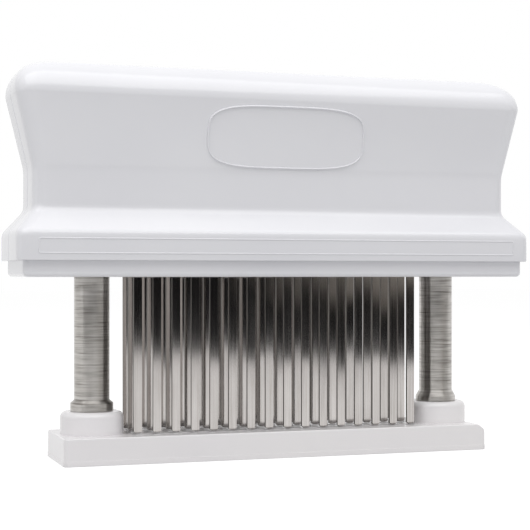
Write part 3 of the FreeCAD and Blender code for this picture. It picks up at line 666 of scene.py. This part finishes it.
KNIFE_HALF, KNIFE_HEAD_HALF, KNIFE_HALF_THICK = 1.125, 2.05, 0.45
KNIFE_TIP_BEVEL, KNIFE_HEAD_HEIGHT, KNIFE_EDGE_ROUND = 0.45, 2.4, 0.045
TWIST_DEGREES, SHIFT = 1.1, 0.04


def build_knives(word, seed):
    """A row of flat knives, each a hair's breadth askew as stamped strips are."""
    name = "knife_row_" + word
    low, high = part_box(name)
    tip, head_top = low[2] / MM, high[2] / MM
    shoulder = head_top - KNIFE_HEAD_HEIGHT
    half, head, bevel = KNIFE_HALF, KNIFE_HEAD_HALF, KNIFE_TIP_BEVEL
    draw = random.Random(seed)
    row = bmesh.new()
    for x in KNIFE_XS:
        work = prism([(bevel - half, tip), (half - bevel, tip), (half, tip + bevel), (half, shoulder),
                      (head, shoulder), (head, head_top), (-head, head_top), (-head, shoulder),
                      (-half, shoulder), (-half, tip + bevel)],
                     -KNIFE_HALF_THICK, KNIFE_HALF_THICK)
        round_edges(work, lambda a, b: a.z < shoulder + 0.1 or b.z < shoulder + 0.1,
                    KNIFE_EDGE_ROUND, 2)
        twist = Matrix.Rotation(math.radians(draw.uniform(-TWIST_DEGREES, TWIST_DEGREES)), 4, "Z")
        shifted = x + draw.uniform(-SHIFT, SHIFT)
        place = Matrix.Translation(Vector((shifted, ROW_YS[word], 0)) * MM)
        bmesh.ops.transform(work, matrix=place @ twist, verts=work.verts)
        single = bpy.data.meshes.new("knife")
        work.to_mesh(single)
        work.free()
        row.from_mesh(single)
        bpy.data.meshes.remove(single)
    mesh = bpy.data.meshes.new(name + "_skin")
    row.to_mesh(mesh)
    row.free()
    knives = add_piece(name + "_skin", mesh, "handle", "knife_steel")
    shade(knives, 50)
    even_normals(knives)
    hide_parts(name)


build_base()
build_column("left", -1)
build_column("right", 1)
for seed, word in enumerate(ROW_YS, start=3):
    build_knives(word, seed)


# Raised outlines on the front: a thin rectangle on the skirt and a plain oval above it

def ridge(name, path, normal, width, height):
    """A closed low ridge with a rounded section that follows a loop of points."""
    work = bmesh.new()
    section = []
    steps = 8
    for step in range(steps + 1):
        turn = math.pi * step / steps
        section.append((math.cos(turn) * width / 2, math.sin(turn) * height))
    section += [(-width / 2, -height), (width / 2, -height)]
    rings = []
    count = len(path)
    for here in range(count):
        along = (path[(here + 1) % count] - path[here - 1]).normalized()
        out = normal.cross(along).normalized()
        rings.append([work.verts.new(path[here] + out * a + normal * b) for a, b in section])
    size = len(section)
    for here in range(count):
        low, high = rings[here], rings[(here + 1) % count]
        for step in range(size):
            after = (step + 1) % size
            work.faces.new((low[step], low[after], high[after], high[step]))
    bmesh.ops.recalc_face_normals(work, faces=work.faces)
    mesh = bpy.data.meshes.new(name)
    work.to_mesh(mesh)
    work.free()
    shade(add_piece(name, mesh, "handle", "white_shell"), 50)


def face_point(x, z):
    """A point of the front face above the crease, in metres; x and z in mm."""
    return Vector((x, -(WAIST_HALF_Y + (z - CREASE_Z) * FACE_SLOPE), z)) * MM


def rounded_loop(half_x, low, high, radius, depth):
    corners = [(half_x - radius, high - radius, 0), (radius - half_x, high - radius, 1),
               (radius - half_x, low + radius, 2), (half_x - radius, low + radius, 3)]
    loop = []
    for x, z, quarter in corners:
        for step in range(6):
            turn = math.pi / 2 * (quarter + step / 5)
            across, up = radius * math.cos(turn), radius * math.sin(turn)
            loop.append(Vector((x + across, -depth, z + up)) * MM)
    return loop


PANEL_HALF_X = 67.6
PANEL_LOW, PANEL_HIGH = SKIRT_Z + 1.9, SKIRT_Z + 5.7
PANEL_CORNER, PANEL_LINE_WIDTH, PANEL_LINE_HEIGHT = 0.5, 0.36, 0.14
ridge("skirt_outline", rounded_loop(PANEL_HALF_X, PANEL_LOW, PANEL_HIGH, PANEL_CORNER, SKIRT_HALF_Y),
      Vector((0, -1, 0)), PANEL_LINE_WIDTH * MM, PANEL_LINE_HEIGHT * MM)

OVAL_HALF_X, OVAL_HALF_Z, OVAL_X, OVAL_Z = 22.4, 8.2, 0.8, SKIRT_Z + 33.6
OVAL_POWER = 2 / 3.8
OVAL_STEPS, OVAL_LINE_WIDTH, OVAL_LINE_HEIGHT = 160, 0.5, 0.45
oval_loop = []
for step in range(OVAL_STEPS):
    turn = TAU * step / OVAL_STEPS
    across = math.copysign(abs(math.cos(turn)) ** OVAL_POWER, math.cos(turn))
    up = math.copysign(abs(math.sin(turn)) ** OVAL_POWER, math.sin(turn))
    oval_loop.append(face_point(OVAL_X + OVAL_HALF_X * across, OVAL_Z + OVAL_HALF_Z * up))
ridge("oval_outline", oval_loop, Vector((0, -1, -FACE_SLOPE)).normalized(),
      OVAL_LINE_WIDTH * MM, OVAL_LINE_HEIGHT * MM)


# Return springs: a coil in each column, ground flat at both ends

def coil(side):
    name = "spring_" + side
    low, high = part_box(name)
    middle = (Vector(low) + Vector(high)) / 2
    wire = 0.45 * MM
    radius = (high[0] - low[0]) / 2 - wire
    bottom, top = low[2] + wire, high[2] - wire
    turns, closed = 15, 1.5
    steps = 20
    path = []
    whole = turns + 2 * closed
    for step in range(int(whole * steps) + 1):
        turn = step / steps
        share = min(max((turn - closed) / turns, 0.0), 1.0)
        edge = min(turn, closed) / closed + max(turn - closed - turns, 0.0) / closed
        level = bottom + wire * 2 * edge * closed * 0.5
        level += (top - bottom - wire * 2 * closed) * share
        path.append(Vector((middle.x + radius * math.cos(TAU * turn),
                            middle.y + radius * math.sin(TAU * turn), level)))
    work = bmesh.new()
    sides = 10
    rings = []
    for here, point in enumerate(path):
        along = (path[min(here + 1, len(path) - 1)] - path[max(here - 1, 0)]).normalized()
        out = Vector((point.x - middle.x, point.y - middle.y, 0)).normalized()
        up = along.cross(out).normalized()
        rings.append([work.verts.new(point + (out * math.cos(TAU * k / sides)
                                              + up * math.sin(TAU * k / sides)) * wire)
                      for k in range(sides)])
    for lower, upper in zip(rings, rings[1:]):
        for k in range(sides):
            after = (k + 1) % sides
            work.faces.new((lower[k], lower[after], upper[after], upper[k]))
    work.faces.new(rings[0][::-1])
    work.faces.new(rings[-1])
    bmesh.ops.recalc_face_normals(work, faces=work.faces)
    mesh = bpy.data.meshes.new(name + "_coil")
    work.to_mesh(mesh)
    work.free()
    piece = add_piece(name + "_coil", mesh, "handle", "spring_steel")
    shade(piece, 60)
    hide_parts(name)
    return piece, low


for word in ("left", "right"):
    spring, spring_low = coil(word)
    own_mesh(spring)


# Floor, backdrop and lights

def seen_directly(tree):
    """A factor that is 1 for what the camera, a mirror or clear glass sees, and 0 otherwise."""
    path = tree.nodes.new("ShaderNodeLightPath")
    total = path.outputs["Is Camera Ray"]
    for word in ("Is Glossy Ray", "Is Transmission Ray"):
        either = tree.nodes.new("ShaderNodeMath")
        either.operation = "MAXIMUM"
        tree.links.new(total, either.inputs[0])
        tree.links.new(path.outputs[word], either.inputs[1])
        total = either.outputs[0]
    return total


def white_floor_material():
    """Matt white that is seen as plain white, with the object's soft shadow kept on it."""
    n = Nodes("floor_white")
    grain = n.noise(n.coords, 300.0, 2.0)
    n.drive(Base_Color=n.ramp(grain, [(0.3, (0.66, 0.66, 0.66)), (0.7, (0.68, 0.68, 0.68))]))
    n.fix(Roughness=0.9, Specular_IOR_Level=0.0)
    tree = n.tree
    shown = tree.nodes.new("ShaderNodeBsdfDiffuse")
    shown.inputs["Color"].default_value = (0.35, 0.35, 0.35, 1)
    glow = tree.nodes.new("ShaderNodeEmission")
    glow.inputs["Color"].default_value = (0.80, 0.80, 0.80, 1)
    both = tree.nodes.new("ShaderNodeAddShader")
    tree.links.new(shown.outputs[0], both.inputs[0])
    tree.links.new(glow.outputs[0], both.inputs[1])
    choose = tree.nodes.new("ShaderNodeMixShader")
    tree.links.new(seen_directly(tree), choose.inputs[0])
    tree.links.new(n.shader.outputs[0], choose.inputs[1])
    tree.links.new(both.outputs[0], choose.inputs[2])
    tree.links.new(choose.outputs[0], tree.nodes["Material Output"].inputs["Surface"])
    return n.material


def painted_shade_card_material():
    """Painted shade of the unlit studio: near black, with a paler painted reflection patch high on the
    right and plain grey at the right end.
    """
    n = Nodes("painted_shade_card")
    grain = n.noise(n.coords, 40.0, 3.0)
    axes = n.add("ShaderNodeSeparateXYZ", {"Vector": n.coords})
    along = n.add("ShaderNodeMapRange", {"Value": axes.outputs["X"], "From Min": 0.30, "From Max": 0.46})
    # Painted shade: a near-black sheet colour standing in for the unlit side of the studio.
    painted_shade = n.ramp(grain, [(0.3, (0.010, 0.010, 0.011)), (0.7, (0.022, 0.021, 0.022))])
    right = n.add("ShaderNodeMapRange", {"Value": axes.outputs["X"], "From Min": 0.13, "From Max": 0.22})
    upper = n.add("ShaderNodeMapRange", {"Value": axes.outputs["Z"], "From Min": 0.034, "From Max": 0.046})
    both = n.add("ShaderNodeMath", {0: right.outputs["Result"], 1: upper.outputs["Result"]},
                 operation="MULTIPLY")
    # Painted reflections: a paler patch high on the right, and plain grey towards the right end.
    paler = n.mix(both.outputs[0], painted_shade, (0.50, 0.47, 0.43))
    n.drive(Base_Color=n.mix(along.outputs["Result"], paler, (0.50, 0.48, 0.45)))
    n.fix(Roughness=1.0, Specular_IOR_Level=0.0)
    return n.material


def flat_sheet(name, corners, material):
    mesh = bpy.data.meshes.new(name)
    mesh.from_pydata(corners, [], [(0, 1, 2, 3)])
    sheet = bpy.data.objects.new(name, mesh)
    bpy.context.scene.collection.objects.link(sheet)
    mesh.materials.append(material)
    return sheet


CARD_TOP = 0.40
CARD_PLAN = [(-1.4, -0.49), (0.06, -0.49), (0.23, -0.36), (1.6, -0.36)]


def make_dark_card():
    """The unlit side of the studio as a bent card, seen in mirroring surfaces only."""
    painted_shade = painted_shade_card_material()
    for part, (a, b) in enumerate(zip(CARD_PLAN, CARD_PLAN[1:])):
        corners = [(*a, 0), (*b, 0), (*b, CARD_TOP), (*a, CARD_TOP)]
        card = flat_sheet("dark_card_%d" % part, corners, painted_shade)
        card.visible_camera = False
        card.visible_diffuse = False
        card.visible_shadow = False
        card.visible_transmission = False


def area_light(name, place, target, size, power):
    data = bpy.data.lights.new(name, "AREA")
    data.shape = "RECTANGLE"
    data.size, data.size_y = size
    data.energy = power
    lamp = bpy.data.objects.new(name, data)
    bpy.context.scene.collection.objects.link(lamp)
    lamp.location = place
    lamp.rotation_mode = "QUATERNION"
    lamp.rotation_quaternion = (Vector(target) - Vector(place)).to_track_quat("-Z", "Y")


WORLD_LIGHT = 0.55


def make_world():
    """Even light from all sides, seen as plain white."""
    world = bpy.data.worlds.new("studio")
    bpy.context.scene.world = world
    world.use_nodes = True
    tree = world.node_tree
    back = tree.nodes["Background"]
    strength = tree.nodes.new("ShaderNodeMapRange")
    strength.inputs["To Min"].default_value = WORLD_LIGHT
    strength.inputs["To Max"].default_value = 1.0
    tree.links.new(seen_directly(tree), strength.inputs["Value"])
    tree.links.new(strength.outputs["Result"], back.inputs["Strength"])
    back.inputs["Color"].default_value = (1, 1, 1, 1)


FLOOR_REACH = 4.0
flat_sheet("floor", [(-FLOOR_REACH, -FLOOR_REACH, 0), (FLOOR_REACH, -FLOOR_REACH, 0),
                     (FLOOR_REACH, FLOOR_REACH, 0), (-FLOOR_REACH, FLOOR_REACH, 0)],
           white_floor_material())
make_dark_card()
make_world()
KEY_PLACE, KEY_TARGET, KEY_SIZE, KEY_WATTS = (-0.1, -0.24, 0.70), (0, 0, 0.06), (1.1, 0.7), 4.1
area_light("key", KEY_PLACE, KEY_TARGET, KEY_SIZE, KEY_WATTS)


# Camera: level, to the left of the object, its long lens turned 18.6 degrees to the right

FOCAL_PIXELS = 1408.0
TURN = math.radians(18.63)
HORIZON_ROW = 275.0
CAMERA_PLACE = (-127.46, -373.13, 49.72)
camera_data = bpy.data.cameras.new("camera")
camera = bpy.data.objects.new("camera", camera_data)
bpy.context.scene.collection.objects.link(camera)
bpy.context.scene.camera = camera
camera_data.sensor_width = 36.0
camera_data.lens = FOCAL_PIXELS / IMAGE * camera_data.sensor_width
camera_data.shift_y = (HORIZON_ROW - IMAGE / 2) / IMAGE
camera_data.clip_start = 0.01
camera_data.clip_end = 20.0
camera.location = Vector(CAMERA_PLACE) * MM
camera.rotation_euler = (math.pi / 2, 0, -TURN)

bpy.context.scene.view_settings.view_transform = "Standard"
